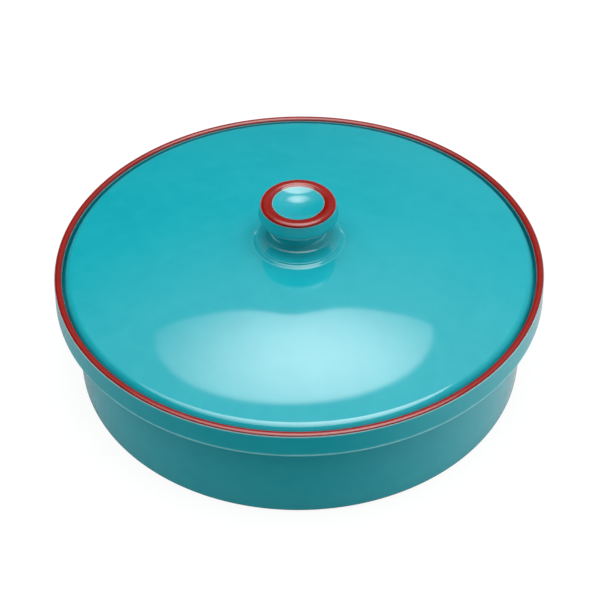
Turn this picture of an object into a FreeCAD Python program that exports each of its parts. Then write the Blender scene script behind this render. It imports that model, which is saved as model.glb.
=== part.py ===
import FreeCAD, Part
import math
import os

from FreeCAD import Vector

# Tortilla warmer in glazed stoneware: a flat-floored bowl with a galleried collar, a domed lid
# that drops inside the rim, and a spool-shaped knob stuck on the lid. Every piece is turned
# about +Z, so each is one outline in the XZ plane, revolved. Millimetres. The origin is the
# centre of the foot, on the surface that the bowl stands on.

# ---- Bowl -------------------------------------------------------------------------------
RIM_HEIGHT = 63.0            # table to the crown of the rim
RIM_WALL = 3.8               # thickness of the rim above the gallery
RIM_ROUNDNESS = 0.92         # share of that thickness that the crown is rounded over
COLLAR_RADIUS = 125.0        # outside of the collar at its lower edge, the widest place
COLLAR_HEIGHT = 13.5         # rim crown down to the collar's lower edge
COLLAR_TAPER = 0.5           # how much the collar narrows from its lower edge to the crown
COLLAR_EDGE_FILLET = 0.9     # crisp lower edge of the collar
GALLERY_DEPTH = 7.0          # rim crown down to the ledge that the lid sits on
SHOULDER_STEP = 7.6          # how far the collar stands out from the wall under it
BODY_TAPER = 1.8             # how much the wall narrows from the collar down to the foot
SHOULDER_FILLET = 2.0        # hollow curve between the wall and the collar's underside
BASE_FILLET = 3.0            # rounding of the wall into the foot
BODY_WALL = 5.0
FLOOR_THICKNESS = 6.0
FLOOR_FILLET = 14.0          # sweep of the inside wall into the floor
FOOT_WIDTH = 6.5             # flat width of the foot ring
FOOT_RECESS = 1.5            # how far the underside is turned away inside the foot ring
FOOT_FILLET = 1.0
GALLERY_FILLET = 0.8         # inside corner of the gallery
LEDGE_LIP_FILLET = 1.5       # inner lip of the ledge

# ---- Lid --------------------------------------------------------------------------------
LID_CLEARANCE = 0.9          # radial gap between the lid and the rim, all round
LID_EDGE_HEIGHT = 6.3        # seat up to where the dome would meet the lid's upright edge
DOME_RISE = 14.1             # that meeting point up to the top of the dome
LID_WALL = 5.0
LID_EDGE_ROLL = 5.0          # rolled shoulder between the dome and the upright edge
SEAT_FILLET = 1.2            # outer corner of the seat
FLANGE_CLEARANCE = 1.2       # radial gap between the locating flange and the bowl's wall
FLANGE_WALL = 4.0
FLANGE_DROP = 4.0            # how far the flange hangs below the seat
FLANGE_FILLET = 1.2
FLANGE_SEAT_FILLET = 0.8     # inside corner between the flange and the seat
FLANGE_ROOT_FILLET = 4.0     # hollow curve between the flange and the underside of the dome
PAD_MARGIN = 0.5             # how far the pad's flat top shows round the knob's foot
PAD_HEIGHT = 1.2             # top of the pad above the dome at the pad's edge
PAD_BEVEL = 1.5              # how much wider the pad is at its foot than at its top
PAD_EDGE_FILLET = 1.0
PAD_ROOT_FILLET = 0.6

# ---- Knob -------------------------------------------------------------------------------
KNOB_HEIGHT = 23.2           # pad to the ring on top
KNOB_FOOT_RADIUS = 21.2
KNOB_FOOT_EDGE = 0.6         # thickness of the flared foot at its rim
KNOB_FOOT_FILLET = 0.4
KNOB_FOOT_SLOPE = 1.2        # rise of the foot from its rim in to the neck
NECK_RADIUS = 12.5
NECK_HEIGHT = 11.4           # pad to where the head starts to spread
NECK_FOOT_FILLET = 5.0
NECK_HEAD_FILLET = 4.0
HEAD_RADIUS = 20.6           # corner between the underside and the side of the head
HEAD_UNDERSIDE_RISE = 1.8    # rise of the underside from the neck to that corner
HEAD_TAPER = 1.9             # how much the head narrows from that corner up to its ring
HEAD_SIDE_FILLET = 4.0
HEAD_TOP_FILLET = 2.2
RING_WIDTH = 4.0             # flat ring round the dish, before its edges are rounded
DISH_DEPTH = 3.9
DISH_LIP_FILLET = 4.5

# ---- Red glaze bands ----------------------------------------------------------------------
RIM_BAND_OUTER_DROP = 0.8    # crown down to the band's edge on the outside of the rim
RIM_BAND_INNER_DROP = 1.3    # crown down to the band's edge on the inside of the rim
KNOB_BAND_REACH = 1.65       # how far the band reaches down over the lip of the dish
KNOB_BAND_INNER_DROP = 1.6   # ring down to the band's edge on the lip of the dish
KNOB_BAND_OUTER_DROP = 1.35  # ring down to the band's edge on the side of the head

SAME_POINT = 0.0001          # ends of edges that are closer than this are one corner
FILLET_SHARE = 0.97          # most of an edge that the roundings at its two ends may take up
RIM_BAND_ARCS = 4            # arcs that draw each rounding of that thin ring, see divided()

# ---- Worked out from the sizes above --------------------------------------------------------
RIM_RADIUS = COLLAR_RADIUS - COLLAR_TAPER
BODY_TOP_RADIUS = COLLAR_RADIUS - SHOULDER_STEP
BASE_RADIUS = BODY_TOP_RADIUS - BODY_TAPER
RIM_FILLET = RIM_ROUNDNESS * RIM_WALL / 2
GALLERY_RADIUS = RIM_RADIUS - RIM_WALL
GALLERY_Z = RIM_HEIGHT - GALLERY_DEPTH
COLLAR_FOOT_Z = RIM_HEIGHT - COLLAR_HEIGHT
WELL_TOP_RADIUS = BODY_TOP_RADIUS - BODY_WALL
WELL_FLOOR_RADIUS = BASE_RADIUS - BODY_WALL
FLOOR_Z = FOOT_RECESS + FLOOR_THICKNESS
FOOT_INNER_RADIUS = BASE_RADIUS - BASE_FILLET - FOOT_WIDTH
LID_RADIUS = GALLERY_RADIUS - LID_CLEARANCE
LID_EDGE_Z = GALLERY_Z + LID_EDGE_HEIGHT
DOME_TOP_Z = LID_EDGE_Z + DOME_RISE
DOME_RADIUS = (LID_RADIUS ** 2 + DOME_RISE ** 2) / (2 * DOME_RISE)
DOME_CENTRE_Z = DOME_TOP_Z - DOME_RADIUS
FLANGE_RADIUS = WELL_TOP_RADIUS - FLANGE_CLEARANCE
FLANGE_INNER_RADIUS = FLANGE_RADIUS - FLANGE_WALL
PAD_RADIUS = KNOB_FOOT_RADIUS + PAD_MARGIN
PAD_FOOT_RADIUS = PAD_RADIUS + PAD_BEVEL
DOME_MIDDLE_RADIUS = (PAD_FOOT_RADIUS + LID_RADIUS) / 2
HEAD_TOP_RADIUS = HEAD_RADIUS - HEAD_TAPER
DISH_RADIUS = HEAD_TOP_RADIUS - RING_WIDTH
KNOB_BAND_INNER_RADIUS = DISH_RADIUS - KNOB_BAND_REACH


def dome_height(radius, inset=0.0):
    """Height of the dome, or of a dome INSET below it, at a distance from the axis."""
    return DOME_CENTRE_Z + ((DOME_RADIUS - inset) ** 2 - radius ** 2) ** 0.5


PAD_Z = dome_height(PAD_FOOT_RADIUS) + PAD_HEIGHT
KNOB_TOP_Z = PAD_Z + KNOB_HEIGHT


# ---- Outlines -----------------------------------------------------------------------------
def point(radius, height):
    """A point of an outline: distance from the axis, height above the table."""
    return Vector(radius, 0, height)


def line(start, end):
    return Part.LineSegment(point(*start), point(*end)).toShape()


def arc(start, middle, end):
    return Part.Arc(point(*start), point(*middle), point(*end)).toShape()


def fitting_fillets(edges, fillets):
    """The fillets, smaller where those at both ends of an edge take more of it than they may."""
    reach = {}
    for number, radius in fillets.items():
        edge, following = edges[number], edges[number + 1]
        turn = edge.tangentAt(edge.LastParameter).getAngle(
            following.tangentAt(following.FirstParameter))
        reach[number] = radius * math.tan(turn / 2)
    fitting = {}
    for number, radius in fillets.items():
        wanted = reach[number]
        before = wanted + reach.get(number - 1, 0)
        after = wanted + reach.get(number + 1, 0)
        room = FILLET_SHARE * min(edges[number].Length / before, edges[number + 1].Length / after)
        fitting[number] = radius * min(1, room)
    return fitting


def rounded_face(edges, fillets):
    """Close edges into a face. fillets gives the radius where edge number N meets the next."""
    plane = Part.Plane(Vector(0, 0, 0), Vector(0, -1, 0))
    edges = list(edges)
    rounds = []
    for number, radius in fitting_fillets(edges, fillets).items():
        following = number + 1
        corner = common_point(edges[number], edges[following])
        rounding = Part.ChFi2d.FilletAlgo(edges[number], edges[following], plane)
        rounding.perform(radius)
        round_edge, edges[number], edges[following] = rounding.result(corner)
        rounds.append(round_edge)
    return Part.Face(Part.Wire(Part.sortEdges(edges + rounds)[0]))


def common_point(first, second):
    """The corner where two edges meet."""
    for one in first.Vertexes:
        for other in second.Vertexes:
            if one.Point.isEqual(other.Point, SAME_POINT):
                return one.Point


def polyline(corners):
    """Straight edges from each corner to the next."""
    return [line(start, end) for start, end in zip(corners, corners[1:])]


def turned(face):
    """The solid that an outline sweeps about the axis."""
    return face.revolve(Vector(0, 0, 0), Vector(0, 0, 1), 360)


def bowl_outline():
    corners = [
        (0, FOOT_RECESS),
        (FOOT_INNER_RADIUS, FOOT_RECESS),
        (FOOT_INNER_RADIUS, 0),
        (BASE_RADIUS, 0),
        (BODY_TOP_RADIUS, COLLAR_FOOT_Z),
        (COLLAR_RADIUS, COLLAR_FOOT_Z),
        (RIM_RADIUS, RIM_HEIGHT),
        (GALLERY_RADIUS, RIM_HEIGHT),
        (GALLERY_RADIUS, GALLERY_Z),
        (WELL_TOP_RADIUS, GALLERY_Z),
        (WELL_FLOOR_RADIUS, FLOOR_Z),
        (0, FLOOR_Z),
        (0, FOOT_RECESS),
    ]
    fillets = {
        0: FOOT_FILLET,
        2: BASE_FILLET,
        3: SHOULDER_FILLET,
        4: COLLAR_EDGE_FILLET,
        5: RIM_FILLET,
        6: RIM_FILLET,
        7: GALLERY_FILLET,
        8: LEDGE_LIP_FILLET,
        9: FLOOR_FILLET,
    }
    return rounded_face(polyline(corners), fillets)


def lid_outline():
    """The lid from its pad out over the dome, down its edge and back under the dome."""
    pad_foot = (PAD_FOOT_RADIUS, dome_height(PAD_FOOT_RADIUS))
    dome_middle = (DOME_MIDDLE_RADIUS, dome_height(DOME_MIDDLE_RADIUS))
    dome_edge = (LID_RADIUS, LID_EDGE_Z)
    flange_root = (FLANGE_INNER_RADIUS, dome_height(FLANGE_INNER_RADIUS, LID_WALL))
    ceiling_middle = (DOME_MIDDLE_RADIUS, dome_height(DOME_MIDDLE_RADIUS, LID_WALL))
    ceiling_top = (0, DOME_TOP_Z - LID_WALL)
    pad = polyline([(0, PAD_Z), (PAD_RADIUS, PAD_Z), pad_foot])
    edge_and_flange = polyline([
        dome_edge,
        (LID_RADIUS, GALLERY_Z),
        (FLANGE_RADIUS, GALLERY_Z),
        (FLANGE_RADIUS, GALLERY_Z - FLANGE_DROP),
        (FLANGE_INNER_RADIUS, GALLERY_Z - FLANGE_DROP),
        flange_root,
    ])
    dome = arc(pad_foot, dome_middle, dome_edge)
    ceiling = arc(flange_root, ceiling_middle, ceiling_top)
    edges = pad + [dome] + edge_and_flange + [ceiling, line(ceiling_top, (0, PAD_Z))]
    fillets = {
        0: PAD_EDGE_FILLET,
        1: PAD_ROOT_FILLET,
        2: LID_EDGE_ROLL,
        3: SEAT_FILLET,
        4: FLANGE_SEAT_FILLET,
        5: FLANGE_FILLET,
        6: FLANGE_FILLET,
        7: FLANGE_ROOT_FILLET,
    }
    return rounded_face(edges, fillets)


def knob_outline():
    """The knob from its flared foot up the neck, round the head and into the dish."""
    underside_z = PAD_Z + NECK_HEIGHT
    dish_bottom = (0, KNOB_TOP_Z - DISH_DEPTH)
    dish_middle = (DISH_RADIUS / 2, dish_height(DISH_RADIUS / 2))
    dish_edge = (DISH_RADIUS, KNOB_TOP_Z)
    edges = polyline([
        (0, PAD_Z),
        (KNOB_FOOT_RADIUS, PAD_Z),
        (KNOB_FOOT_RADIUS, PAD_Z + KNOB_FOOT_EDGE),
        (NECK_RADIUS, PAD_Z + KNOB_FOOT_EDGE + KNOB_FOOT_SLOPE),
        (NECK_RADIUS, underside_z),
        (HEAD_RADIUS, underside_z + HEAD_UNDERSIDE_RISE),
        (HEAD_TOP_RADIUS, KNOB_TOP_Z),
        dish_edge,
    ])
    edges += [arc(dish_edge, dish_middle, dish_bottom), line(dish_bottom, (0, PAD_Z))]
    fillets = {
        1: KNOB_FOOT_FILLET,
        2: NECK_FOOT_FILLET,
        3: NECK_HEAD_FILLET,
        4: HEAD_SIDE_FILLET,
        5: HEAD_TOP_FILLET,
        6: DISH_LIP_FILLET,
    }
    return rounded_face(edges, fillets)


def dish_height(radius):
    """Height of the knob's dished top at a distance from the axis."""
    sphere = (DISH_RADIUS ** 2 + DISH_DEPTH ** 2) / (2 * DISH_DEPTH)
    return KNOB_TOP_Z - DISH_DEPTH + sphere - (sphere ** 2 - radius ** 2) ** 0.5


# ---- Glaze bands --------------------------------------------------------------------------
def glaze_band(outline, limits):
    """The part of an outline that lies between the corners of limits."""
    field = Part.Face(Part.makePolygon([point(*corner) for corner in limits + limits[:1]]))
    return outline.common(field).Faces[0]


def divided(outline, count):
    """The same outline with COUNT short arcs for each of its arcs.

    A ring that is thin for its width then keeps its volume when its surfaces are meshed,
    because no triangle reaches further across a rounding than one of the arcs.
    """
    edges = []
    for edge in outline.Edges:
        start, end = edge.ParameterRange
        if isinstance(edge.Curve, Part.Circle):
            cuts = [start + (end - start) * share / count for share in range(1, count)]
            edges += edge.split(cuts).Edges
        else:
            edges.append(edge)
    return Part.Face(Part.Wire(Part.sortEdges(edges)[0]))


def rim_band_outline(bowl):
    return divided(glaze_band(bowl, [
        (GALLERY_RADIUS, RIM_HEIGHT - RIM_BAND_INNER_DROP),
        (RIM_RADIUS, RIM_HEIGHT - RIM_BAND_OUTER_DROP),
        (RIM_RADIUS, RIM_HEIGHT),
        (GALLERY_RADIUS, RIM_HEIGHT),
    ]), RIM_BAND_ARCS)


def knob_band_outline(knob):
    return glaze_band(knob, [
        (KNOB_BAND_INNER_RADIUS, KNOB_TOP_Z - KNOB_BAND_INNER_DROP),
        (HEAD_RADIUS, KNOB_TOP_Z - KNOB_BAND_OUTER_DROP),
        (HEAD_RADIUS, KNOB_TOP_Z),
        (KNOB_BAND_INNER_RADIUS, KNOB_TOP_Z),
    ])


# ---- Pieces -------------------------------------------------------------------------------
def build():
    """Every piece by its name."""
    bowl = bowl_outline()
    rim_band = rim_band_outline(bowl)
    knob = knob_outline()
    knob_band = knob_band_outline(knob)
    outlines = {
        "bowl": bowl.cut(rim_band).Faces[0],
        "rim_band": rim_band,
        "lid": lid_outline(),
        "knob": knob.cut(knob_band).Faces[0],
        "knob_band": knob_band,
    }
    return {name: turned(outline) for name, outline in outlines.items()}


os.makedirs("parts", exist_ok=True)
for name, solid in build().items():
    solid.exportStep("parts/" + name + ".step")
    print(name, "volume", round(solid.Volume), "mm3, valid", solid.isValid())
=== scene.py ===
"""The looks of a round glazed stoneware tortilla warmer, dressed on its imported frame.

Bowl, lid and knob are turned ware. Each is drawn as one half outline, in millimetres of
radius and height, given its roundings, and spun about the upright axis. The two red bands
are cut out of the same outlines, so that they lie flush in the pieces that carry them.
"""

import logging
import math
from collections.abc import Callable
from dataclasses import dataclass, replace
from enum import Enum
from typing import Self

import bmesh
import bpy
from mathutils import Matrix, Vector


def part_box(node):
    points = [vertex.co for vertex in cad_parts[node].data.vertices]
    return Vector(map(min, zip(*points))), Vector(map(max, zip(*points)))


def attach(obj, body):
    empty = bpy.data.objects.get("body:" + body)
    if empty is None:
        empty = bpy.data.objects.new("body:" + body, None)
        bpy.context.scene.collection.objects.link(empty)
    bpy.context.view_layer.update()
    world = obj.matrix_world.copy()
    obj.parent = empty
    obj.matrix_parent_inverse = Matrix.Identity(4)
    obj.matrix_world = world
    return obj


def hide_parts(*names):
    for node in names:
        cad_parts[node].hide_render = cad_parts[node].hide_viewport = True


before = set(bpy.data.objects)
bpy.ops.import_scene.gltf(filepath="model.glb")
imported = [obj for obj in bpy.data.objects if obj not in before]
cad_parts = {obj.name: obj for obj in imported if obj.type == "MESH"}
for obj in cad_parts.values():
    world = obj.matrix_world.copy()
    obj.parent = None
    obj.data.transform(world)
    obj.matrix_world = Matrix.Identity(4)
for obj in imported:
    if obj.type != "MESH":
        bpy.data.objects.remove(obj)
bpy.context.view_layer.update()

LOG = logging.getLogger("tortilla_warmer")

MM = 0.001                           # metres in a millimetre
FULL_TURN = math.tau
SAME_PLACE = 0.0005                  # mm: corners closer than this are one corner
BEND_STEP = math.radians(6.0)        # most that a rounding turns from one row to the next
RUN_STEP = 6.0                       # mm: most that two rows of a face lie apart
TOUCH_ROUNDS = 6                     # rounds in which a rounding settles on its two ways
SMOOTH_BELOW = math.radians(30.0)    # edges that fold by more than this stay crisp
SAG_WIDTH = 0.22                     # m: half width of the dip in a softbox's back edge
CORNER_POWER = 6.0                   # how late that edge bends forward towards its ends
MIX_COLOUR_INPUTS = (6, 7)           # where a Mix node takes its two colours
MIX_COLOUR_OUTPUT = 2                # and where it gives the mixed one
WHITE = (1.0, 1.0, 1.0)
# The Thin sockets carry the colour of thin glaze and the colour of painted highlights.
SOCKET_KINDS = {"Position": "Vector"} | dict.fromkeys(
    ("Color", "Glaze", "Deep", "Thin"), "Color")     # all other sockets carry a number

Point = complex                      # radius in mm, and height in mm as its imaginary part
Colour = tuple[float, float, float]


class Body(Enum):
    """The two bodies that pieces ride on."""

    BOWL = "bowl"
    LID = "lid"


class Slot(Enum):
    """The glazes that the record names."""

    TURQUOISE = "turquoise_glaze"
    RED = "red_glaze"


class Keep(Enum):
    """Which share of an outline stays when a glaze band is cut out of it."""

    WARE = "ware"
    BAND = "band"


# ---- Outlines -----------------------------------------------------------------------------
@dataclass(frozen=True)
class Corner:
    """One corner of a half outline, and how the outline reaches it.

    Attributes:
        radius: Distance from the upright axis, in mm.
        height: Height above the table, in mm.
        rounding: Radius of the rounding on this corner, in mm.
        dome_centre: Height of the centre of the dome or dish that leads here, in mm, or
            None for a straight run.
    """

    radius: float
    height: float
    rounding: float = 0.0
    dome_centre: float | None = None

    @property
    def place(self) -> Point:
        """The corner as a point of the outline's plane."""
        return complex(self.radius, self.height)


@dataclass(frozen=True)
class Way:
    """The straight run, or the stretch of a dome about its centre, between two corners."""

    start: Point
    end: Point
    centre: Point | None

    def heading(self, at: Point) -> Point:
        """Unit direction of travel at a point of the way.

        Args:
            at: A point on the way.

        Returns:
            The direction, as a complex number of length 1.
        """
        if self.centre is None:
            along = self.end - self.start
        else:
            spoke = at - self.centre
            across = spoke * 1j
            along = across * math.copysign(1.0, dot(across, self.end - self.start))
        return along / abs(along)

    def nearest(self, to: Point) -> Point:
        """The point of the way, drawn on without end, that lies nearest to another.

        Args:
            to: Any point of the outline's plane.

        Returns:
            The nearest point.
        """
        if self.centre is None:
            along = self.heading(self.start)
            return self.start + along * dot(to - self.start, along)
        spoke = to - self.centre
        return self.centre + spoke / abs(spoke) * abs(self.start - self.centre)


@dataclass(frozen=True)
class Rounding:
    """The arc that replaces a corner: where it starts, its centre and where it ends."""

    start: Point
    centre: Point
    end: Point

    @property
    def turn(self) -> float:
        """Signed angle from start to end about the centre, anticlockwise positive."""
        return angle_between(self.start - self.centre, self.end - self.centre)


def dot(first: Point, second: Point) -> float:
    """Scalar product of two points taken as vectors."""
    return (first.conjugate() * second).real


def cross(first: Point, second: Point) -> float:
    """Signed area that two points taken as vectors span."""
    return (first.conjugate() * second).imag


def angle_between(first: Point, second: Point) -> float:
    """Signed angle from one vector to another, anticlockwise positive."""
    return math.atan2(cross(first, second), dot(first, second))


def rounded(before: Way, after: Way, radius: float) -> Rounding:
    """The rounding that touches the two ways that meet at a corner.

    The first guess treats both ways as straight at the corner. Each further round takes
    their direction where the arc touched them, so that a dome is met exactly.

    Args:
        before: The way that ends at the corner.
        after: The way that starts there.
        radius: Radius of the rounding in mm.

    Returns:
        The arc, with its ends on the two ways.
    """
    leave = arrive = before.end
    centre = leave
    for _ in range(TOUCH_ROUNDS):
        inward, outward = before.heading(leave), after.heading(arrive)
        side = 1j * math.copysign(radius, cross(inward, outward))
        first, second = leave + inward * side, arrive + outward * side
        centre = first + inward * cross(second - first, outward) / cross(inward, outward)
        leave, arrive = before.nearest(centre), after.nearest(centre)
    return Rounding(leave, centre, arrive)


@dataclass(frozen=True)
class BandLimit:
    """The slanting line under a red band, and the radius inside which there is none.

    Attributes:
        radius: Distance from the axis of one point of the line, in mm.
        height: Height of that point above the table, in mm.
        slope: How far the line rises for each mm outwards.
        inner_radius: The radius inside which there is no band, in mm, or 0.
    """

    radius: float
    height: float
    slope: float
    inner_radius: float = 0.0

    def depth(self, place: Point) -> float:
        """How far a point lies inside the band, in mm, or outside it where negative."""
        above = place.imag - self.height - self.slope * (place.real - self.radius)
        return min(above, place.real - self.inner_radius)

    @property
    def notch(self) -> Point:
        """The inner corner of the seat that the band lies in."""
        inner = max(self.inner_radius, self.radius)
        return complex(inner, self.height + self.slope * (inner - self.radius))


class Pen:
    """Draws one half outline in edit mode, as a chain of corners on the XZ plane."""

    def __init__(self, name: str, start: Point) -> None:
        """Put the first point of the outline down.

        Args:
            name: Name of the piece that is drawn.
            start: Where its outline starts.
        """
        bpy.ops.object.select_all(action="DESELECT")
        bpy.ops.mesh.primitive_plane_add(size=MM, location=(0.0, 0.0, 0.0))
        self.piece = bpy.context.object
        self.piece.name = name
        self.piece.data.name = name
        bpy.ops.object.mode_set(mode="EDIT")
        bpy.ops.mesh.select_mode(type="VERT")
        bpy.ops.mesh.select_all(action="SELECT")
        bpy.ops.mesh.merge(type="CENTER")
        self.at = 0j
        bpy.ops.transform.translate(value=self._step_to(start))

    def _step_to(self, place: Point) -> Vector:
        """Take the pen to a place.

        Args:
            place: Where it is to be.

        Returns:
            The move that takes it there, in metres.
        """
        step = place - self.at
        self.at = place
        return Vector((step.real, 0.0, step.imag)) * MM

    def run(self, end: Point) -> None:
        """Extrude a straight run of rows.

        Args:
            end: Where the run ends.
        """
        start = self.at
        if abs(end - start) < SAME_PLACE:
            return
        rows = math.ceil(abs(end - start) / RUN_STEP)
        for row in range(1, rows + 1):
            step = self._step_to(start + (end - start) * row / rows)
            bpy.ops.mesh.extrude_region_move(TRANSFORM_OT_translate={"value": step})

    def bend(self, centre: Point, turn: float) -> None:
        """Spin rows about a centre.

        Args:
            centre: Centre of the arc.
            turn: Signed angle, anticlockwise positive.
        """
        spoke = self.at - centre
        rows = max(
            math.ceil(abs(turn) / BEND_STEP), math.ceil(abs(turn * spoke) / RUN_STEP))
        bpy.ops.mesh.spin(
            steps=rows, angle=turn, center=(centre.real * MM, 0.0, centre.imag * MM),
            axis=(0.0, 1.0, 0.0))
        self.at = centre + spoke * complex(math.cos(turn), math.sin(turn))

    def follow(self, way: Way, end: Point) -> None:
        """Draw along a way.

        Args:
            way: The way that the pen is on.
            end: A point of it, as far as which is drawn.
        """
        if way.centre is None:
            self.run(end)
        elif abs(end - self.at) > SAME_PLACE:
            self.bend(way.centre, angle_between(self.at - way.centre, end - way.centre))

    def outline(self, corners: list[Corner]) -> None:
        """Draw a whole half outline, from its first corner to its last.

        Args:
            corners: The corners in order, the first being where the pen is.
        """
        ways = [
            Way(start.place, end.place,
                None if end.dome_centre is None else complex(0.0, end.dome_centre))
            for start, end in zip(corners, corners[1:])
        ]
        for number, (way, corner) in enumerate(zip(ways, corners[1:])):
            if corner.rounding:
                arc = rounded(way, ways[number + 1], corner.rounding)
                self.follow(way, arc.start)
                self.bend(arc.centre, arc.turn)
                self.at = arc.end
            else:
                self.follow(way, corner.place)


def select_vertices(piece: bpy.types.Object,
                    wanted: Callable[[bmesh.types.BMVert], bool]) -> None:
    """Select the vertices of the mesh in edit mode that pass a test, and no others.

    Args:
        piece: The object in edit mode.
        wanted: Says of a vertex whether it is to be selected.
    """
    mesh = bmesh.from_edit_mesh(piece.data)
    for vertex in mesh.verts:
        vertex.select = wanted(vertex)
    mesh.select_flush_mode()
    bmesh.update_edit_mesh(piece.data)


def cut_band(piece: bpy.types.Object, limit: BandLimit, keep: Keep) -> None:
    """Cut the outline along the edge of a glaze band and drop one share of it.

    Args:
        piece: The object in edit mode, holding one half outline.
        limit: Where the band ends.
        keep: Which share stays.
    """
    along = Vector((1.0, 0.0, limit.slope)).normalized()
    cuts = [((limit.radius * MM, 0.0, limit.height * MM), Vector((-along.z, 0.0, along.x)))]
    if limit.inner_radius:
        cuts.append(((limit.inner_radius * MM, 0.0, 0.0), Vector((1.0, 0.0, 0.0))))
    for place, normal in cuts:
        bpy.ops.mesh.select_all(action="SELECT")
        bpy.ops.mesh.bisect(plane_co=place, plane_no=normal)

    def dropped(vertex: bmesh.types.BMVert) -> bool:
        """Whether a vertex belongs to the share that goes."""
        depth = limit.depth(complex(vertex.co.x, vertex.co.z) / MM)
        return depth > SAME_PLACE if keep is Keep.WARE else depth < -SAME_PLACE

    def loose_end(vertex: bmesh.types.BMVert) -> bool:
        """Whether the chain ends at a vertex away from the axis."""
        return len(vertex.link_edges) == 1 and vertex.co.x > SAME_PLACE * MM

    select_vertices(piece, dropped)
    bpy.ops.mesh.delete(type="VERT")
    if limit.inner_radius:
        notch = Vector((limit.notch.real, 0.0, limit.notch.imag)) * MM
        mesh = bmesh.from_edit_mesh(piece.data)
        inner = min(filter(loose_end, mesh.verts), key=lambda vertex: vertex.co.x)
        place = inner.co.copy()
        select_vertices(piece, lambda vertex: (vertex.co - place).length < SAME_PLACE * MM)
        bpy.ops.mesh.extrude_region_move(TRANSFORM_OT_translate={"value": notch - place})
    select_vertices(piece, loose_end)
    bpy.ops.mesh.edge_face_add()


def turn_outline(piece: bpy.types.Object, steps: int) -> None:
    """Spin the outline about the upright axis into closed ware and leave edit mode.

    Args:
        piece: The object in edit mode, holding one half outline.
        steps: How many faces go once round.
    """
    bpy.ops.mesh.select_all(action="SELECT")
    bpy.ops.mesh.spin(
        steps=steps, angle=FULL_TURN, center=(0.0, 0.0, 0.0), axis=(0.0, 0.0, 1.0))
    bpy.ops.mesh.select_all(action="SELECT")
    bpy.ops.mesh.remove_doubles(threshold=SAME_PLACE * MM)
    bpy.ops.mesh.normals_make_consistent(inside=False)
    bpy.ops.object.mode_set(mode="OBJECT")
    bpy.ops.object.shade_smooth_by_angle(angle=SMOOTH_BELOW)
    bpy.ops.object.modifier_add(type="WEIGHTED_NORMAL")
    weigher = piece.modifiers[-1]
    weigher.keep_sharp = True
    bpy.ops.object.modifier_apply(modifier=weigher.name)


# ---- Shader nodes -------------------------------------------------------------------------
def worked_out(operation: str) -> Callable[..., "Value"]:
    """An operator between two numbers, or on one, that a Math node works out.

    Args:
        operation: The Math node's operation.

    Returns:
        The method that stands for the operator.
    """
    def work(value: "Value", *others: "Number") -> "Value":
        """The number that the operator gives."""
        return value.bench.calc(operation, value, *others)
    return work


class Value:
    """A number that nodes work out. Sums of such numbers are written as sums."""

    def __init__(self, bench: "Bench", socket: bpy.types.NodeSocket) -> None:
        """Hold the socket that gives the number, and the bench that it is on."""
        self.bench, self.socket = bench, socket

    __add__ = __radd__ = worked_out("ADD")
    __mul__ = __rmul__ = worked_out("MULTIPLY")
    __sub__ = worked_out("SUBTRACT")
    __truediv__ = worked_out("DIVIDE")
    __pow__ = worked_out("POWER")
    __abs__ = worked_out("ABSOLUTE")

    def __rsub__(self, other: "Number") -> Self:
        """Another number less this one."""
        return self.bench.calc("SUBTRACT", other, self)

    def between(self, first: "Number", second: "Number") -> Self:
        """The number that lies this share of the way from one to another."""
        return (second - first) * self + first

    def bell(self) -> Self:
        """1 where this number is 0, a third of that one unit away, and soon nothing."""
        return self.bench.calc("EXPONENT", self * self * -1.0)

    def step(self, low: float, high: float) -> Self:
        """A soft step from 0 where this number is low to 1 where it is high."""
        return Value(self.bench, self.bench.add(
            "ShaderNodeMapRange", self, low, high, interpolation_type="SMOOTHSTEP").outputs[0])


Number = float | Value
Paint = Colour | bpy.types.NodeSocket
Term = Number | Paint | bpy.types.Node


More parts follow.
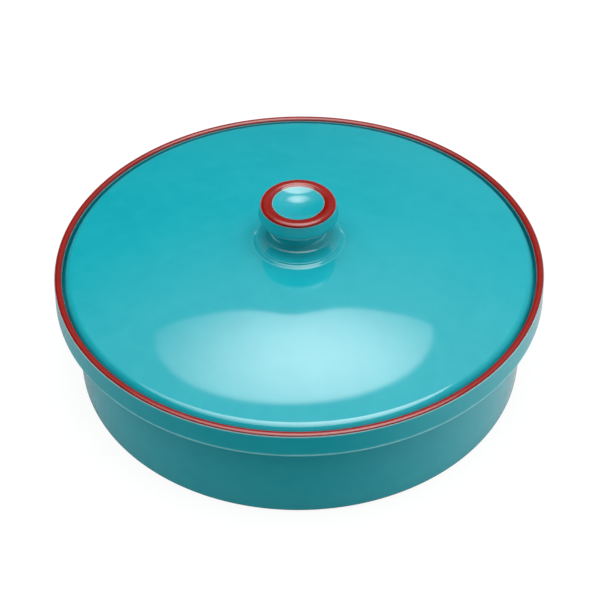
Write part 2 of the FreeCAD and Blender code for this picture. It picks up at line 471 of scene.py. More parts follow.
class Bench:
    """A short way to place, set and wire the nodes of one tree."""

    def __init__(self, tree: bpy.types.NodeTree) -> None:
        """Take a tree to work on."""
        self.tree = tree

    def add(self, kind: str, *terms: Term, **settings: object) -> bpy.types.Node:
        """Place a node.

        Args:
            kind: The node's type.
            *terms: What its first inputs are fed, in their order.
            **settings: Values for the node's own settings.

        Returns:
            The node.
        """
        node = self.tree.nodes.new(kind)
        for name, value in settings.items():
            setattr(node, name, value)
        for socket, term in zip(node.inputs, terms):
            self.feed(socket, term)
        return node

    def feed(self, socket: bpy.types.NodeSocket, term: Term) -> None:
        """Wire an input to what another node gives, or set it to a plain value.

        Args:
            socket: The input.
            term: What it is fed, a node standing for its first output.
        """
        if isinstance(term, Value):
            term = term.socket
        elif isinstance(term, bpy.types.Node):
            term = term.outputs[0]
        if isinstance(term, bpy.types.NodeSocket):
            self.tree.links.new(term, socket)
        elif isinstance(term, tuple):
            socket.default_value = (*term, 1.0)[:len(socket.default_value)]
        else:
            socket.default_value = term

    def fill(self, node: bpy.types.Node, **inputs: Term) -> bpy.types.Node:
        """Feed a node's inputs by name.

        Args:
            node: The node.
            **inputs: What they are fed, with _ for the spaces of their names.

        Returns:
            The same node.
        """
        for name, term in inputs.items():
            self.feed(node.inputs[name.replace("_", " ")], term)
        return node

    def read(self, socket: bpy.types.NodeSocket) -> Value | bpy.types.NodeSocket:
        """What an output gives, made ready for sums where it is a number."""
        return Value(self, socket) if socket.type == "VALUE" else socket

    def calc(self, operation: str, *terms: Number) -> Value:
        """Work one sum out with a Math node."""
        return Value(self, self.add("ShaderNodeMath", *terms, operation=operation).outputs[0])

    def parts(self, vector: bpy.types.NodeSocket) -> list[Value]:
        """The X, Y and Z of a vector."""
        return [Value(self, part) for part in self.add("ShaderNodeSeparateXYZ", vector).outputs]

    def distance(self, across: Value, along: Value) -> Value:
        """The straight distance that two parts at right angles make up."""
        return self.calc("SQRT", across * across + along * along)

    def ray(self, kind: str) -> Value:
        """1 for rays of a kind, such as Camera, and 0 for all others."""
        return Value(self, self.add("ShaderNodeLightPath").outputs[f"Is {kind} Ray"])

    def blend(self, share: Number, first: Paint, second: Paint) -> bpy.types.NodeSocket:
        """Mix two colours.

        Args:
            share: How much of the second there is, from 0 to 1.
            first: One colour.
            second: The other.

        Returns:
            The mixed colour.
        """
        node = self.add("ShaderNodeMix", share, data_type="RGBA")
        for number, colour in zip(MIX_COLOUR_INPUTS, (first, second)):
            self.feed(node.inputs[number], colour)
        return node.outputs[MIX_COLOUR_OUTPUT]

    def noise(self, place: bpy.types.NodeSocket, size: float, detail: float = 2.0,
              roughness: float = 0.5) -> Value:
        """Soft random noise from 0 to 1.

        Args:
            place: Object coordinates in metres.
            size: Rough size of a blotch in mm.
            detail: How many finer layers lie on it.
            roughness: How strong those are.

        Returns:
            The noise.
        """
        node = self.fill(
            self.add("ShaderNodeTexNoise"), Vector=place, Scale=1.0 / (size * MM),
            Detail=detail, Roughness=roughness)
        return Value(self, node.outputs[0])


@dataclass(frozen=True)
class BareClay:
    """Fired clay where the glaze was wiped off, sizes in mm.

    Attributes:
        dark: Colour of its darker grains.
        pale: Colour of its paler ones.
        roughness: How matt it is.
        grain: Size of a grain.
        relief: How far the grains stand out.
        edge_waver: How unevenly it was wiped.
        edge_blur: Width over which the glaze ends.
    """

    dark: Colour = (0.60, 0.52, 0.42)
    pale: Colour = (0.74, 0.67, 0.57)
    roughness: float = 0.85
    grain: float = 0.8
    relief: float = 0.03
    edge_waver: float = 0.25
    edge_blur: float = 0.12


BARE_CLAY = BareClay()


class Effects:
    """The effects that more than one glaze uses, each a node group built once.

    Sizes are in mm. A pair is the stretch of a soft step, or the range noise is spread over.
    """

    WAVER_SIZE = 5.0
    # Edges where the glaze is paler: thin glaze, and highlights painted along some edges.
    THIN_SIZE, THIN_REACH, THIN_FADE = 8.0, (0.7, 1.3), (0.3, 1.0)
    CLOUD_SIZE, MOTTLE_SIZE, POOLS = 45.0, 9.0, (0.75, 1.3)
    RIPPLE_SIZE, PEEL_SIZE = 22.0, 2.2
    DULL_SIZE, DULL_RANGE = 12.0, (0.75, 1.25)
    WIPE_SIZE, GRAIN_COARSENESS, GRAIN_TONES = 6.0, 0.7, (0.35, 0.7)

    def __init__(self) -> None:
        """Build every group."""
        self.groups: dict[str, bpy.types.NodeTree] = {}
        for build in (self._wheel_place, self._band_depth, self._edge_ring,
                      self._glaze_tone, self._glaze_skin, self._bare_clay):
            build()

    def _group(self, name: str, takes: tuple[str, ...], gives: tuple[str, ...]) -> tuple[
            Bench, list[Value | bpy.types.NodeSocket], bpy.types.Node]:
        """Start a node group.

        Args:
            name: The group's name.
            takes: The names of its inputs.
            gives: The names of its outputs.

        Returns:
            A bench on the group, what its inputs bring, and its output node.
        """
        tree = bpy.data.node_groups.new(name, "ShaderNodeTree")
        for names, side in ((takes, "INPUT"), (gives, "OUTPUT")):
            for socket in names:
                tree.interface.new_socket(
                    name=socket, in_out=side,
                    socket_type="NodeSocket" + SOCKET_KINDS.get(socket, "Float"))
        self.groups[name] = tree
        bench = Bench(tree)
        given = bench.add("NodeGroupInput").outputs[:len(takes)]
        return bench, [bench.read(socket) for socket in given], bench.add("NodeGroupOutput")

    def _wheel_place(self) -> None:
        """Distance from the axis and height above the table, both in mm."""
        bench, (place,), out = self._group("wheel_place", ("Position",), ("Radius", "Height"))
        across, back, up = bench.parts(place)
        bench.fill(out, Radius=bench.distance(across, back) / MM, Height=up / MM)

    def _band_depth(self) -> None:
        """How far inside a red band a place lies, in mm, on a line that wavers a little."""
        bench, given, out = self._group(
            "band_depth",
            ("Position", "Radius", "Height", "Line Radius", "Line Height", "Line Slope",
             "Inner Radius", "Waver"),
            ("Depth",))
        place, radius, height, line_radius, line_height, slope, inner_radius, waver = given
        above = height - line_height - (radius - line_radius) * slope
        sway = (bench.noise(place, self.WAVER_SIZE) - 0.5) * waver
        bench.fill(out, Depth=bench.calc("MINIMUM", above, radius - inner_radius) + sway)

    def _edge_ring(self) -> None:
        """A soft mask along one edge that runs round the ware."""
        bench, given, out = self._group(
            "edge_ring",
            ("Position", "Radius", "Height", "Ring Radius", "Ring Height", "Reach"),
            ("Mask",))
        place, radius, height, ring_radius, ring_height, reach = given
        away = bench.distance(radius - ring_radius, height - ring_height)
        uneven = bench.noise(place, self.THIN_SIZE).between(*self.THIN_REACH)
        bench.fill(out, Mask=1.0 - (away / (reach * uneven)).step(*self.THIN_FADE))

    def _glaze_tone(self) -> None:
        """A glaze's colour: slow clouds, pools where it ran deep, pale where it ran thin.

        The same pale colour lays the highlights painted along some edges.
        """
        bench, given, out = self._group(
            "glaze_tone", ("Position", "Glaze", "Deep", "Thin", "Cloud", "Thinness"),
            ("Color",))
        place, glaze, deep, thin_and_highlight, cloud, thin_and_highlight_share = given
        clouds = bench.noise(place, self.CLOUD_SIZE, detail=3.0)
        pools = (clouds + bench.noise(place, self.MOTTLE_SIZE)).step(*self.POOLS)
        body = bench.blend(pools * cloud, glaze, deep)
        bench.fill(out, Color=bench.blend(thin_and_highlight_share, body, thin_and_highlight))

    def _glaze_skin(self) -> None:
        """How even a glaze's skin is: its roughness, and its height in mm."""
        bench, (place, roughness, ripple, peel), out = self._group(
            "glaze_skin", ("Position", "Roughness", "Ripple", "Peel"), ("Roughness", "Height"))
        waves = bench.noise(place, self.RIPPLE_SIZE, detail=1.0) * ripple
        pits = bench.noise(place, self.PEEL_SIZE, detail=1.0) * peel
        uneven = bench.noise(place, self.DULL_SIZE, detail=3.0).between(*self.DULL_RANGE)
        bench.fill(out, Roughness=roughness * uneven, Height=waves + pits)

    def _bare_clay(self) -> None:
        """Fired clay where the glaze was wiped off below a height."""
        bench, (place, height, wiped_below), out = self._group(
            "bare_clay", ("Position", "Height", "Wiped Below"), ("Mask", "Color", "Height"))
        waver = bench.noise(place, self.WIPE_SIZE) * BARE_CLAY.edge_waver
        edge = wiped_below + waver - height
        grain = bench.noise(place, BARE_CLAY.grain, 3.0, self.GRAIN_COARSENESS)
        bench.fill(
            out, Mask=edge.step(0.0, BARE_CLAY.edge_blur),
            Color=bench.blend(grain.step(*self.GRAIN_TONES), BARE_CLAY.dark, BARE_CLAY.pale),
            Height=grain * BARE_CLAY.relief)


# ---- Glazes -------------------------------------------------------------------------------
@dataclass(frozen=True)
class Glaze:
    """A gloss glaze: its colours, and how even its skin is.

    Attributes:
        slot: The record's slot that it stands for; not used.
        colour: Its colour where it lies evenly.
        deep: Its colour where it pooled.
        thin_and_highlight: Its colour where it ran thin or lies over another glaze, and
        the colour of the highlights painted along edges.
        cloud: How much of the deep colour its clouds take on.
        roughness: How much it blurs what it mirrors.
        ripple: Height of its slow waves, in mm.
        peel: Height of its fine pits, in mm.
        ior: Its refractive index.
    """

    slot: Slot
    colour: Colour
    deep: Colour
    thin_and_highlight: Colour
    cloud: float
    roughness: float
    ripple: float
    peel: float
    ior: float


TURQUOISE_GLAZE = Glaze(
    slot=Slot.TURQUOISE,
    colour=(0.011, 0.325, 0.380),
    deep=(0.004, 0.297, 0.355),
    # Pale turquoise of thin glaze, which is also the colour of the highlights painted along
    # edges.
    thin_and_highlight=(0.230, 0.610, 0.640),
    cloud=0.6,
    roughness=0.05,
    ripple=0.006,
    peel=0.0008,
    ior=1.68,
)
KNOB_GLAZE = replace(TURQUOISE_GLAZE, roughness=0.10)
RED_GLAZE = Glaze(
    slot=Slot.RED,
    colour=(0.250, 0.0080, 0.0045),
    deep=(0.205, 0.0055, 0.0035),
    thin_and_highlight=(0.090, 0.0150, 0.0200),
    cloud=0.8,
    roughness=0.05,
    ripple=0.004,
    peel=0.0008,
    ior=1.60,
)


@dataclass(frozen=True)
class EdgeRing:
    """A crisp edge where the glaze is paler, sizes in mm: thin glaze, a painted highlight or
    both.

    Attributes:
        radius: Distance of the edge from the axis.
        height: Its height above the table.
        reach: How far from it the glaze is still paler.
        strength: How pale it gets, from 0 to 1.
    """

    radius: float
    height: float
    reach: float
    strength: float


@dataclass(frozen=True)
class GlazeBreak:
    """The line where two glazes meet and both run thin, sizes in mm.

    Attributes:
        colour: Colour of the turquoise along it.
        width: Width of that pale line.
        solid: Share of that width that has the full colour.
        overlap: Between which depths in the red its own dark edge fades.
        waver: How far the line strays up and down.
    """

    colour: Colour = (0.320, 0.440, 0.440)
    width: float = 0.50
    solid: float = 0.6
    overlap: tuple[float, float] = (0.20, 0.60)
    waver: float = 0.12


RIM_BREAK = GlazeBreak()
KNOB_BREAK = replace(RIM_BREAK, colour=(0.280, 0.310, 0.270), width=0.40)


class GlazeCoat:
    """One glaze as it lies on one piece, with the edges and bands of that piece."""

    def __init__(self, effects: Effects, glaze: Glaze, name: str) -> None:
        """Start the piece's own material.

        Args:
            effects: The shared node groups.
            glaze: The glaze that the piece is dipped in.
            name: Name of the material.
        """
        self.groups = effects.groups
        self.glaze = glaze
        self.material = bpy.data.materials.new(name)
        self.material.use_nodes = True
        self.material.node_tree.nodes.clear()
        self.bench = Bench(self.material.node_tree)
        self.place = self.bench.add("ShaderNodeTexCoord").outputs["Object"]
        self.wheel = self.effect("wheel_place")

    def effect(self, name: str, **inputs: Term) -> dict[str, Value | bpy.types.NodeSocket]:
        """Lay a shared effect over the piece.

        Args:
            name: The name of its group.
            **inputs: What else it takes, with _ for the spaces of the names.

        Returns:
            What it gives, by name.
        """
        node = self.bench.add("ShaderNodeGroup", node_tree=self.groups[name])
        self.bench.fill(node, Position=self.place, **inputs)
        return {socket.name: self.bench.read(socket) for socket in node.outputs}

    def thin_and_highlight_share(self, ring: EdgeRing) -> Value:
        """Where the glaze is paler along a crisp edge: thin glaze, a painted highlight or both.

        Args:
            ring: That edge.

        Returns:
            A mask from 0 to 1.
        """
        edge = self.effect(
            "edge_ring", **self.wheel, Ring_Radius=ring.radius, Ring_Height=ring.height,
            Reach=ring.reach)
        return edge["Mask"] * ring.strength

    def band_depth(self, limit: BandLimit, line: GlazeBreak) -> Value:
        """How far inside the piece's red band a place lies.

        Args:
            limit: The edge of the band.
            line: How its glaze ends there.

        Returns:
            The depth in mm, negative outside the band.
        """
        return self.effect(
            "band_depth", **self.wheel, Line_Radius=limit.radius, Line_Height=limit.height,
            Line_Slope=limit.slope, Inner_Radius=limit.inner_radius, Waver=line.waver)["Depth"]

    def tone(self, thin_and_highlight_share: Number) -> bpy.types.NodeSocket:
        """The glaze's own colour over the piece.

        Args:
            thin_and_highlight_share: Where it is thin, and where a highlight is painted,
            from 0 to 1.

        Returns:
            The colour.
        """
        return self.effect(
            "glaze_tone", Glaze=self.glaze.colour, Deep=self.glaze.deep, Thin=self.glaze.thin_and_highlight,
            Cloud=self.glaze.cloud, Thinness=thin_and_highlight_share)["Color"]

    def tone_beside(self, limit: BandLimit, line: GlazeBreak,
                    thin_and_highlight_share: Number) -> bpy.types.NodeSocket:
        """The glaze's colour on a piece that carries a red band, pale along the band.

        Args:
            limit: The edge of the band.
            line: How the two glazes meet there.
            thin_and_highlight_share: Where else the glaze is thin, and where a highlight is
            painted, from 0 to 1.

        Returns:
            The colour.
        """
        pale = self.band_depth(limit, line).step(-line.width, -line.width * line.solid)
        return self.bench.blend(pale, self.tone(thin_and_highlight_share), line.colour)

    def finish(self, colour: bpy.types.NodeSocket, wiped_below: float | None = None) -> Self:
        """Wire colour, roughness and skin to the shader.

        Args:
            colour: The glazed colour.
            wiped_below: Height in mm under which the piece is bare clay, or None.

        Returns:
            This coat, ready to go on its piece.
        """
        bench = self.bench
        skin = self.effect(
            "glaze_skin", Roughness=self.glaze.roughness, Ripple=self.glaze.ripple,
            Peel=self.glaze.peel)
        roughness, relief = skin["Roughness"], skin["Height"]
        if wiped_below is not None:
            clay = self.effect(
                "bare_clay", Height=self.wheel["Height"], Wiped_Below=wiped_below)
            bare = clay["Mask"]
            colour = bench.blend(bare, colour, clay["Color"])
            roughness = bare.between(roughness, BARE_CLAY.roughness)
            relief = bare.between(relief, clay["Height"])
        bump = bench.fill(bench.add("ShaderNodeBump"), Distance=MM, Height=relief)
        shader = bench.fill(
            bench.add("ShaderNodeBsdfPrincipled"), IOR=self.glaze.ior, Base_Color=colour,
            Roughness=roughness, Normal=bump)
        bench.add("ShaderNodeOutputMaterial", shader)
        return self


def red_band_coat(effects: Effects, band: BandLimit, name: str) -> GlazeCoat:
    """Red glaze on a band, dark along its edge, where it lies over the turquoise.

    Args:
        effects: The shared node groups.
        band: Where the band ends.
        name: Name of the material.

    Returns:
        The finished coat.
    """
    coat = GlazeCoat(effects, RED_GLAZE, name)
    depth = coat.band_depth(band, RIM_BREAK)
    return coat.finish(coat.tone(1.0 - depth.step(*RIM_BREAK.overlap)))


# ---- Pieces -------------------------------------------------------------------------------
@dataclass
class Ware:
    """A sub-assembly of turned pieces that ride on one body.

    Attributes:
        effects: The shared node groups.
        body: What its pieces ride on.
        steps: How many faces go once round its wide pieces.
    """

    effects: Effects
    body: Body
    steps: int = 288

    @staticmethod
    def turn(name: str, corners: list[Corner], steps: int, band: BandLimit | None = None,
             keep: Keep = Keep.WARE) -> bpy.types.Object:
        """Draw an outline, cut its band and spin it.

        Args:
            name: Name of the piece.
            corners: Its half outline.
            steps: How many faces go once round it.
            band: The limit of its red band, or None.
            keep: Whether the ware or the band is wanted.

        Returns:
            The finished mesh object.
        """
        pen = Pen(name, corners[0].place)
        pen.outline(corners)
        if band is not None:
            cut_band(pen.piece, band, keep)
        turn_outline(pen.piece, steps)
        return pen.piece

    def mount(self, piece: bpy.types.Object, coat: GlazeCoat, node: str) -> None:
        """Dress a piece, put it on its body and let it stand for its node.

        Args:
            piece: The finished mesh object.
            coat: What it is dressed in.
            node: The node that the piece replaces.
        """
        piece.data.materials.clear()
        piece.data.materials.append(coat.material)
        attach(piece, self.body.value)
        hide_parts(node)
        low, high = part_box(node)
        own = [furthest(corner[axis] for corner in piece.bound_box)
               for furthest in (min, max) for axis in range(3)]
        apart = max(abs(mine - given) for mine, given in zip(own, (*low, *high)))
        LOG.info("%s: %d faces, rides on %s, replaces %s, box within %.3f mm of it",
                 piece.name, len(piece.data.polygons), self.body.value, node, apart / MM)


@dataclass
class Bowl(Ware):
    """The bowl and the red band over its rim, sizes in mm."""

    body: Body = Body.BOWL
    rim_height: float = 63.0
    rim_wall: float = 3.8
    rim_rounding: float = 1.748
    collar_radius: float = 125.0
    collar_height: float = 13.5
    collar_taper: float = 0.5
    collar_edge_rounding: float = 0.9
    gallery_depth: float = 7.0
    gallery_rounding: float = 0.8
    ledge_lip_rounding: float = 1.5
    shoulder_step: float = 7.6
    shoulder_rounding: float = 2.0
    body_taper: float = 1.8
    body_wall: float = 5.0
    base_rounding: float = 3.0
    foot_width: float = 6.5
    foot_recess: float = 1.5
    foot_rounding: float = 1.0
    floor_thickness: float = 6.0
    floor_rounding: float = 14.0
    band_outer_drop: float = 0.8
    band_inner_drop: float = 1.3
    foot_wipe: float = 0.10

    @property
    def rim_radius(self) -> float:
        """Outside of the rim at its crown."""
        return self.collar_radius - self.collar_taper

    @property
    def collar_foot(self) -> float:
        """Height of the collar's lower edge."""
        return self.rim_height - self.collar_height

    @property
    def band(self) -> BandLimit:
        """The lower edge of the red band, from the inside of the rim to its outside.

        Returns:
            The limit that the bowl's outline is cut along.
        """
        slope = (self.band_inner_drop - self.band_outer_drop) / self.rim_wall
        return BandLimit(
            self.rim_radius - self.rim_wall, self.rim_height - self.band_inner_drop, slope)

    def outline(self) -> list[Corner]:
        """From the middle of the underside round the wall and rim to the middle inside.

        Returns:
            The corners of the bowl and its band in one.
        """
        top_radius = self.collar_radius - self.shoulder_step
        base_radius = top_radius - self.body_taper
        foot_radius = base_radius - self.base_rounding - self.foot_width
        gallery_radius = self.rim_radius - self.rim_wall
        gallery = self.rim_height - self.gallery_depth
        floor = self.foot_recess + self.floor_thickness
        return [
            Corner(0.0, self.foot_recess),
            Corner(foot_radius, self.foot_recess, self.foot_rounding),
            Corner(foot_radius, 0.0),
            Corner(base_radius, 0.0, self.base_rounding),
            Corner(top_radius, self.collar_foot, self.shoulder_rounding),
            Corner(self.collar_radius, self.collar_foot, self.collar_edge_rounding),
            Corner(self.rim_radius, self.rim_height, self.rim_rounding),
            Corner(gallery_radius, self.rim_height, self.rim_rounding),
            Corner(gallery_radius, gallery, self.gallery_rounding),
            Corner(top_radius - self.body_wall, gallery, self.ledge_lip_rounding),
            Corner(base_radius - self.body_wall, floor, self.floor_rounding),
            Corner(0.0, floor),
        ]

    def build(self) -> None:
        """Make the bowl and its red band."""
        shell = self.turn("bowl_shell", self.outline(), self.steps, self.band)
        self.mount(shell, self.shell_coat(), "bowl")
        band = self.turn("rim_glaze", self.outline(), self.steps, self.band, Keep.BAND)
        self.mount(band, red_band_coat(self.effects, self.band, "red_rim"), "rim_band")

    def shell_coat(self) -> GlazeCoat:
        """Turquoise, pale along the collar's lower edge and under the band, bare below.

        Returns:
            The finished coat.
        """
        coat = GlazeCoat(self.effects, TURQUOISE_GLAZE, "turquoise_bowl")
        # The collar's lower edge is paler, partly from thin glaze and partly as a painted
        # highlight.
        thin_and_highlight = coat.thin_and_highlight_share(
            EdgeRing(self.collar_radius, self.collar_foot, reach=2.0, strength=1.0))
        return coat.finish(coat.tone_beside(self.band, RIM_BREAK, thin_and_highlight), self.foot_wipe)


@dataclass
class Lid(Ware):
    """The lid, its knob and the red ring round the knob's dish, sizes in mm."""

    body: Body = Body.LID
    knob_steps: int = 144
    seat: float = 56.0
    radius: float = 119.8
    edge_height: float = 6.3
    dome_rise: float = 14.1
    wall: float = 5.0
    edge_roll: float = 5.0
    seat_rounding: float = 1.2
    flange_radius: float = 111.2
    flange_wall: float = 4.0
    flange_drop: float = 4.0
    flange_rounding: float = 1.2
    flange_seat_rounding: float = 0.8
    flange_root_rounding: float = 4.0
    pad_margin: float = 0.5
    pad_height: float = 1.2
    pad_bevel: float = 1.5
    pad_edge_rounding: float = 1.0
    pad_root_rounding: float = 0.6
    knob_height: float = 23.2
    knob_foot_radius: float = 21.2
    knob_foot_edge: float = 0.6
    knob_foot_rounding: float = 0.4
    knob_foot_slope: float = 1.2
    neck_radius: float = 12.5
    neck_height: float = 11.4
    neck_foot_rounding: float = 5.0
    neck_head_rounding: float = 4.0
    head_radius: float = 20.6
    head_underside_rise: float = 1.8
    head_taper: float = 1.9
    head_side_rounding: float = 4.0
    head_top_rounding: float = 2.2
    ring_width: float = 4.0
    dish_depth: float = 3.9
    dish_lip_rounding: float = 4.5
    band_reach: float = 1.65
    band_inner_drop: float = 1.6
    band_outer_drop: float = 1.35
    flange_wipe: float = 0.30

    @property
    def dome_edge(self) -> float:
        """Height at which the dome would meet the lid's upright edge."""
        return self.seat + self.edge_height

    @property
    def dome_radius(self) -> float:
        """Radius of the sphere that the dome is part of."""
        return (self.radius ** 2 + self.dome_rise ** 2) / (2 * self.dome_rise)

    @property
    def dome_centre(self) -> float:
        """Height of that sphere's centre, far below the table."""
        return self.dome_edge + self.dome_rise - self.dome_radius

    def dome_height(self, radius: float, inset: float = 0.0) -> float:
        """Height of the dome at a radius, or of one that lies INSET mm inside it."""
        return self.dome_centre + math.sqrt((self.dome_radius - inset) ** 2 - radius ** 2)

    @property
    def pad_foot_radius(self) -> float:
        """Where the knob's pad meets the dome."""
        return self.knob_foot_radius + self.pad_margin + self.pad_bevel

    @property
    def pad_top(self) -> float:
        """Height of the pad that the knob stands on."""
        return self.dome_height(self.pad_foot_radius) + self.pad_height

    @property
    def knob_top(self) -> float:
        """Height of the ring round the knob's dish."""
        return self.pad_top + self.knob_height

    @property
    def dish_radius(self) -> float:
        """Radius of the dish at its rim, before the lip is rounded."""
        return self.head_radius - self.head_taper - self.ring_width

    @property
    def dish_centre(self) -> float:
        """Height of the centre of the sphere that the dish is part of."""
        sphere = (self.dish_radius ** 2 + self.dish_depth ** 2) / (2 * self.dish_depth)
        return self.knob_top - self.dish_depth + sphere

    @property
    def band(self) -> BandLimit:
        """The edge of the red ring, from the lip of the dish to the side of the head.

        Returns:
            The limit that the knob's outline is cut along.
        """
        inner = self.dish_radius - self.band_reach
        slope = (self.band_inner_drop - self.band_outer_drop) / (self.head_radius - inner)
        return BandLimit(inner, self.knob_top - self.band_inner_drop, slope, inner)

    def shell_outline(self) -> list[Corner]:
        """From the middle of the pad out over the dome, and back under it.

        Returns:
            The corners of the lid.
        """
        flange_inside = self.flange_radius - self.flange_wall
        flange_foot = self.seat - self.flange_drop
        ceiling = self.dome_centre + self.dome_radius - self.wall
        return [
            Corner(0.0, self.pad_top),
            Corner(self.pad_foot_radius - self.pad_bevel, self.pad_top, self.pad_edge_rounding),
            Corner(self.pad_foot_radius, self.dome_height(self.pad_foot_radius),
                   self.pad_root_rounding),
            Corner(self.radius, self.dome_edge, self.edge_roll, self.dome_centre),
            Corner(self.radius, self.seat, self.seat_rounding),
            Corner(self.flange_radius, self.seat, self.flange_seat_rounding),
            Corner(self.flange_radius, flange_foot, self.flange_rounding),
            Corner(flange_inside, flange_foot, self.flange_rounding),
            Corner(flange_inside, self.dome_height(flange_inside, self.wall),
                   self.flange_root_rounding),
            Corner(0.0, ceiling, dome_centre=self.dome_centre),
        ]

    def knob_outline(self) -> list[Corner]:
        """From the middle of the knob's foot up the neck, round the head, into the dish.

        Returns:
            The corners of the knob and its ring in one.
        """
        foot_edge = self.pad_top + self.knob_foot_edge
        underside = self.pad_top + self.neck_height
        return [
            Corner(0.0, self.pad_top),
            Corner(self.knob_foot_radius, self.pad_top),
            Corner(self.knob_foot_radius, foot_edge, self.knob_foot_rounding),
            Corner(self.neck_radius, foot_edge + self.knob_foot_slope,
                   self.neck_foot_rounding),
            Corner(self.neck_radius, underside, self.neck_head_rounding),
            Corner(self.head_radius, underside + self.head_underside_rise,
                   self.head_side_rounding),
            Corner(self.head_radius - self.head_taper, self.knob_top, self.head_top_rounding),
            Corner(self.dish_radius, self.knob_top, self.dish_lip_rounding),
            Corner(0.0, self.knob_top - self.dish_depth, dome_centre=self.dish_centre),
        ]

    def build(self) -> None:
        """Make the lid, its knob and the red ring."""
        shell = self.turn("lid_shell", self.shell_outline(), self.steps)
        self.mount(shell, self.shell_coat(), "lid")
        knob = self.turn("knob_spool", self.knob_outline(), self.knob_steps, self.band)
        self.mount(knob, self.knob_coat(), "knob")
        ring = self.turn(
            "knob_ring_glaze", self.knob_outline(), self.knob_steps, self.band, Keep.BAND)
        self.mount(ring, red_band_coat(self.effects, self.band, "red_knob"), "knob_band")

    def shell_coat(self) -> GlazeCoat:
        """Turquoise, bare on the foot of the flange, where the lid stood in the kiln.

        Returns:
            The finished coat.
        """
        coat = GlazeCoat(self.effects, TURQUOISE_GLAZE, "turquoise_lid")
        pad_foot = self.dome_height(self.pad_foot_radius)
        # A faint painted highlight round the foot of the knob's pad.
        thin_and_highlight = coat.thin_and_highlight_share(EdgeRing(self.pad_foot_radius, pad_foot, reach=0.9, strength=0.08))
        return coat.finish(coat.tone(thin_and_highlight), self.seat - self.flange_drop + self.flange_wipe)

    def knob_coat(self) -> GlazeCoat:
        """Turquoise, with a painted highlight along the knob's foot, pale beside the red ring.

        Returns:
            The finished coat.
        """
        coat = GlazeCoat(self.effects, KNOB_GLAZE, "turquoise_knob")
        foot_edge = self.pad_top + self.knob_foot_edge
        # A faint painted highlight along the edge of the knob's foot.
        thin_and_highlight = coat.thin_and_highlight_share(
            EdgeRing(self.knob_foot_radius, foot_edge, reach=0.7, strength=0.05))
        return coat.finish(coat.tone_beside(self.band, KNOB_BREAK, thin_and_highlight))


# ---- Studio -------------------------------------------------------------------------------
@dataclass(frozen=True)
class Softbox:
    """A soft light that hangs level over the table and shines straight down.

    Its cloth is brightest in front of the lamp behind it and darker away from it. Its
    outline is an ellipse that touches the sides of the box, cut off straight at the back.

    Attributes:
        name: Name of the lamp.
        middle: Where the middle of the box hangs, in metres.
        width: Its size along X, in metres.
        depth: Its size along Y, in metres.
        radiance: Brightness of the cloth where it is brightest.
        hot_spot: Where that is, along X and Y from the middle, in metres.
        falloff: How far along X and Y it takes to fall to a third, in metres.
        edge_blur: Width over which its round edge fades, as a share of its half size.
        straight_back: How far the box reaches towards the back, in metres from its middle.
        back_blur: Width over which its straight back edge fades, in metres.
        sag: How far that edge dips forward near the middle, in metres.
        corner_drop: How far that edge bends forward at its two ends, in metres.
    """

    name: str
    middle: tuple[float, float, float]
    width: float
    depth: float
    radiance: float
    hot_spot: tuple[float, float]
    falloff: tuple[float, float]
    edge_blur: float
    straight_back: float
    back_blur: float
    sag: float = 0.0
    corner_drop: float = 0.0

    def hang(self) -> None:
        """Put the lamp up."""
        data = bpy.data.lights.new(self.name, "AREA")
        data.shape = "RECTANGLE"
        data.size = self.width
        data.size_y = self.depth
        data.energy = self.radiance * math.pi * self.width * self.depth
        self.shade(data)
        lamp = bpy.data.objects.new(self.name, data)
        lamp.location = self.middle
        lamp.visible_camera = False
        bpy.context.scene.collection.objects.link(lamp)
        LOG.info("%s: %.2f by %.2f m, radiance %.1f", self.name, self.width, self.depth,
                 self.radiance)

    def shade(self, data: bpy.types.AreaLight) -> None:
        """Let the cloth fade from its hot spot out to its edges.

        Args:
            data: The lamp.
        """
        data.use_nodes = True
        bench = Bench(data.node_tree)
        spot = bench.parts(bench.add("ShaderNodeNewGeometry").outputs["Parametric"])
        across, back = (spot[0] - 0.5) * self.width, (spot[1] - 0.5) * self.depth
        glow = bench.distance((across - self.hot_spot[0]) / self.falloff[0],
                              (back - self.hot_spot[1]) / self.falloff[1]).bell()
        aside = across / (self.width / 2)
        outline = bench.distance(aside, back / (self.depth / 2))
        inside = 1.0 - outline.step(1.0 - self.edge_blur, 1.0)
        dip = (across / SAG_WIDTH).bell() * self.sag
        edge = back + dip + abs(aside) ** CORNER_POWER * self.corner_drop
        in_front = 1.0 - edge.step(self.straight_back - self.back_blur, self.straight_back)
        bench.fill(data.node_tree.nodes["Emission"], Strength=glow * inside * in_front)


BACK_SOFTBOX = Softbox(
    name="back_softbox",
    middle=(-0.04, 1.70, 2.5),
    width=1.88,
    depth=1.80,
    radiance=4.95,
    hot_spot=(0.13, -0.50),
    falloff=(0.78, 0.66),
    edge_blur=0.05,
    straight_back=0.10,
    back_blur=0.04,
    sag=0.10,
    corner_drop=0.10,
)
OVERHEAD_SOFTBOX = Softbox(
    name="overhead_softbox",
    middle=(-0.15, -0.45, 2.5),
    width=4.0,
    depth=3.4,
    radiance=5.4,
    hot_spot=(0.50, 0.59),
    falloff=(1.70, 1.95),
    edge_blur=0.10,
    straight_back=1.13,
    back_blur=0.06,
)


@dataclass(frozen=True)
class Camera:
    """The camera, which looks down at the ware from the front.

    Attributes:
        place: Where it stands, in metres.
        turn: How it is turned about X, Y and Z, in degrees.
        lens: Its focal length, in mm.
        sensor: The width of its sensor, in mm.
    """

    place: tuple[float, float, float] = (0.0, -0.66132, 0.62922)
    turn: tuple[float, float, float] = (48.038, 0.500, -0.4765)
    lens: float = 102.29
    sensor: float = 36.0

    def set_up(self) -> None:
        """Put the camera up and make it the scene's own."""
        data = bpy.data.cameras.new("camera")
        data.sensor_width = self.sensor
        data.sensor_fit = "HORIZONTAL"
        data.lens = self.lens
        camera = bpy.data.objects.new("camera", data)
        camera.location = self.place
        camera.rotation_euler = [math.radians(turn) for turn in self.turn]
        bpy.context.scene.collection.objects.link(camera)
        bpy.context.scene.camera = camera


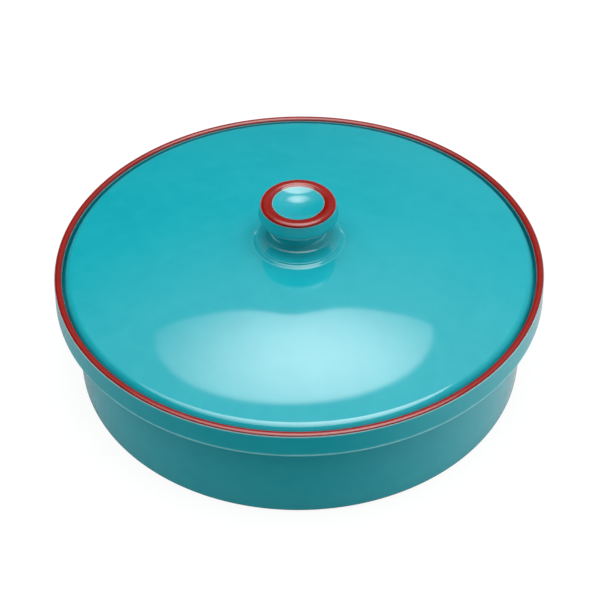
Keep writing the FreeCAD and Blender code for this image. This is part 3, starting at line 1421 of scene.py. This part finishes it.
@dataclass(frozen=True)
class Floor:
    """A plain pale floor that the camera sees as white, with the ware's soft shadow.

    Attributes:
        size: Length of its sides, in metres.
        colour: How pale it is for matt light.
        painted_front_shade: How pale it is for matt light in front of the ware, as painted
            shade.
        glow: How bright the camera sees it where no light falls.
        shadow: How much brighter it gets in the light.
        painted_front_fade: Where along Y its painted shade in front turns to pale, in metres.
        fade_beside: How far forward that place lies for each metre aside.
        fade_right: How much further forward it lies for each metre to the right.
        painted_shadow_fade: Between which distances the ware's painted shadow ends, in metres.
        ware_shade: How bright that painted shadow is, as a share.
        shade_right: How much brighter that painted shadow is for each metre to the right.
    """

    size: float = 40.0
    colour: float = 0.95
    painted_front_shade: float = 0.35
    glow: float = 0.91
    shadow: float = 0.10
    painted_front_fade: tuple[float, float] = (-0.22, 0.05)
    fade_beside: float = 0.35
    fade_right: float = 0.20
    painted_shadow_fade: tuple[float, float] = (0.12, 0.45)
    ware_shade: float = 0.50
    shade_right: float = 0.80

    def lay(self) -> None:
        """Lay the floor under the ware."""
        bpy.ops.object.select_all(action="DESELECT")
        bpy.ops.mesh.primitive_plane_add(size=self.size, location=(0.0, 0.0, 0.0))
        floor = bpy.context.object
        floor.name = "floor"
        material = bpy.data.materials.new("pale_floor")
        material.use_nodes = True
        material.node_tree.nodes.clear()
        self.paint(Bench(material.node_tree))
        floor.data.materials.append(material)

    def paint(self, bench: Bench) -> None:
        """Make the floor matt for the ware's matt light, and aglow where it is seen.

        The camera sees it evenly pale. What the glaze mirrors of it carries a painted
        shadow, darker in front of the ware and close to it. Its matt colour is painted
        darker in front of the ware too, as shade that dims what it throws back on the ware.

        Args:
            bench: A bench on the floor's material.
        """
        right, back, _ = bench.parts(bench.add("ShaderNodeTexCoord").outputs["Object"])
        # Painted shade: dark in front of the ware, pale beside and behind it.
        line = abs(right) * self.fade_beside + right * self.fade_right + back
        pale = line.step(*self.painted_front_fade)
        # Painted shadow close round the ware, lighter to the right.
        shade = right * self.shade_right + self.ware_shade
        clear = bench.distance(right, back).step(*self.painted_shadow_fade).between(shade, 1.0)
        camera = bench.ray("Camera")
        share = camera.between(pale * clear, 1.0)
        matt = bench.add("ShaderNodeBsdfDiffuse", pale.between(self.painted_front_shade, self.colour))
        lit = bench.add("ShaderNodeBsdfDiffuse", share * self.shadow)
        glow = bench.fill(bench.add("ShaderNodeEmission"), Strength=share * self.glow)
        seen = bench.add("ShaderNodeAddShader", lit, glow)
        rays = bench.calc("MAXIMUM", camera, bench.ray("Glossy"))
        bench.add("ShaderNodeOutputMaterial", bench.add("ShaderNodeMixShader", rays, matt, seen))


@dataclass(frozen=True)
class Room:
    """The room round the ware: dark walls, a pale ceiling at the back and a low side fill.

    It is told by direction. Each pair of numbers is a stretch of an axis, from -1 to 1, over
    which a brightness fades in or out.

    Attributes:
        left: Brightness of the walls on the left.
        right: Their brightness on the right.
        sides: Where along X the one turns into the other.
        ceiling: Brightness of the ceiling.
        ceiling_rise: Where along Z it begins.
        ceiling_back: Where along Y it begins.
        fill: Brightness of the side fill, which only matt light gets.
        fill_rise: Where along Z it ends.
        fill_aside: Where to both sides it begins.
        fill_right: How much stronger it is on the right than in the middle, as a share.
    """

    left: float = 0.0
    right: float = 0.18
    sides: tuple[float, float] = (-0.38, 0.42)
    ceiling: float = 0.60
    ceiling_rise: tuple[float, float] = (0.50, 0.90)
    ceiling_back: tuple[float, float] = (-0.15, 0.30)
    fill: float = 1.90
    fill_rise: tuple[float, float] = (0.15, 0.65)
    fill_aside: tuple[float, float] = (0.30, 0.85)
    fill_right: float = 0.05

    def light(self) -> None:
        """Make the room the scene's world."""
        world = bpy.data.worlds.new("room")
        bpy.context.scene.world = world
        world.use_nodes = True
        bench = Bench(world.node_tree)
        right, back, up = bench.parts(bench.add("ShaderNodeTexCoord").outputs["Generated"])
        walls = right.step(*self.sides).between(self.left, self.right)
        ceiling = up.step(*self.ceiling_rise) * back.step(*self.ceiling_back) * self.ceiling
        low_sides = (1.0 - up.step(*self.fill_rise)) * abs(right).step(*self.fill_aside)
        uneven = (right * self.fill_right + 1.0) * self.fill
        fill = low_sides * uneven * bench.ray("Diffuse")
        bench.fill(world.node_tree.nodes["Background"], Color=WHITE,
                   Strength=walls + ceiling + fill)


@dataclass(frozen=True)
class Studio:
    """Camera, floor, room and lamps."""

    camera: Camera = Camera()
    floor: Floor = Floor()
    room: Room = Room()
    lamps: tuple[Softbox, ...] = (BACK_SOFTBOX, OVERHEAD_SOFTBOX)

    def build(self) -> None:
        """Set the whole studio up."""
        self.camera.set_up()
        self.floor.lay()
        self.room.light()
        for lamp in self.lamps:
            lamp.hang()
        bpy.context.scene.view_settings.view_transform = "Standard"


def main() -> None:
    """Build the studio and every piece."""
    logging.basicConfig(level=logging.INFO, format="%(name)s: %(message)s")
    Studio().build()
    effects = Effects()
    Bowl(effects).build()
    Lid(effects).build()


if __name__ == "__main__":
    main()
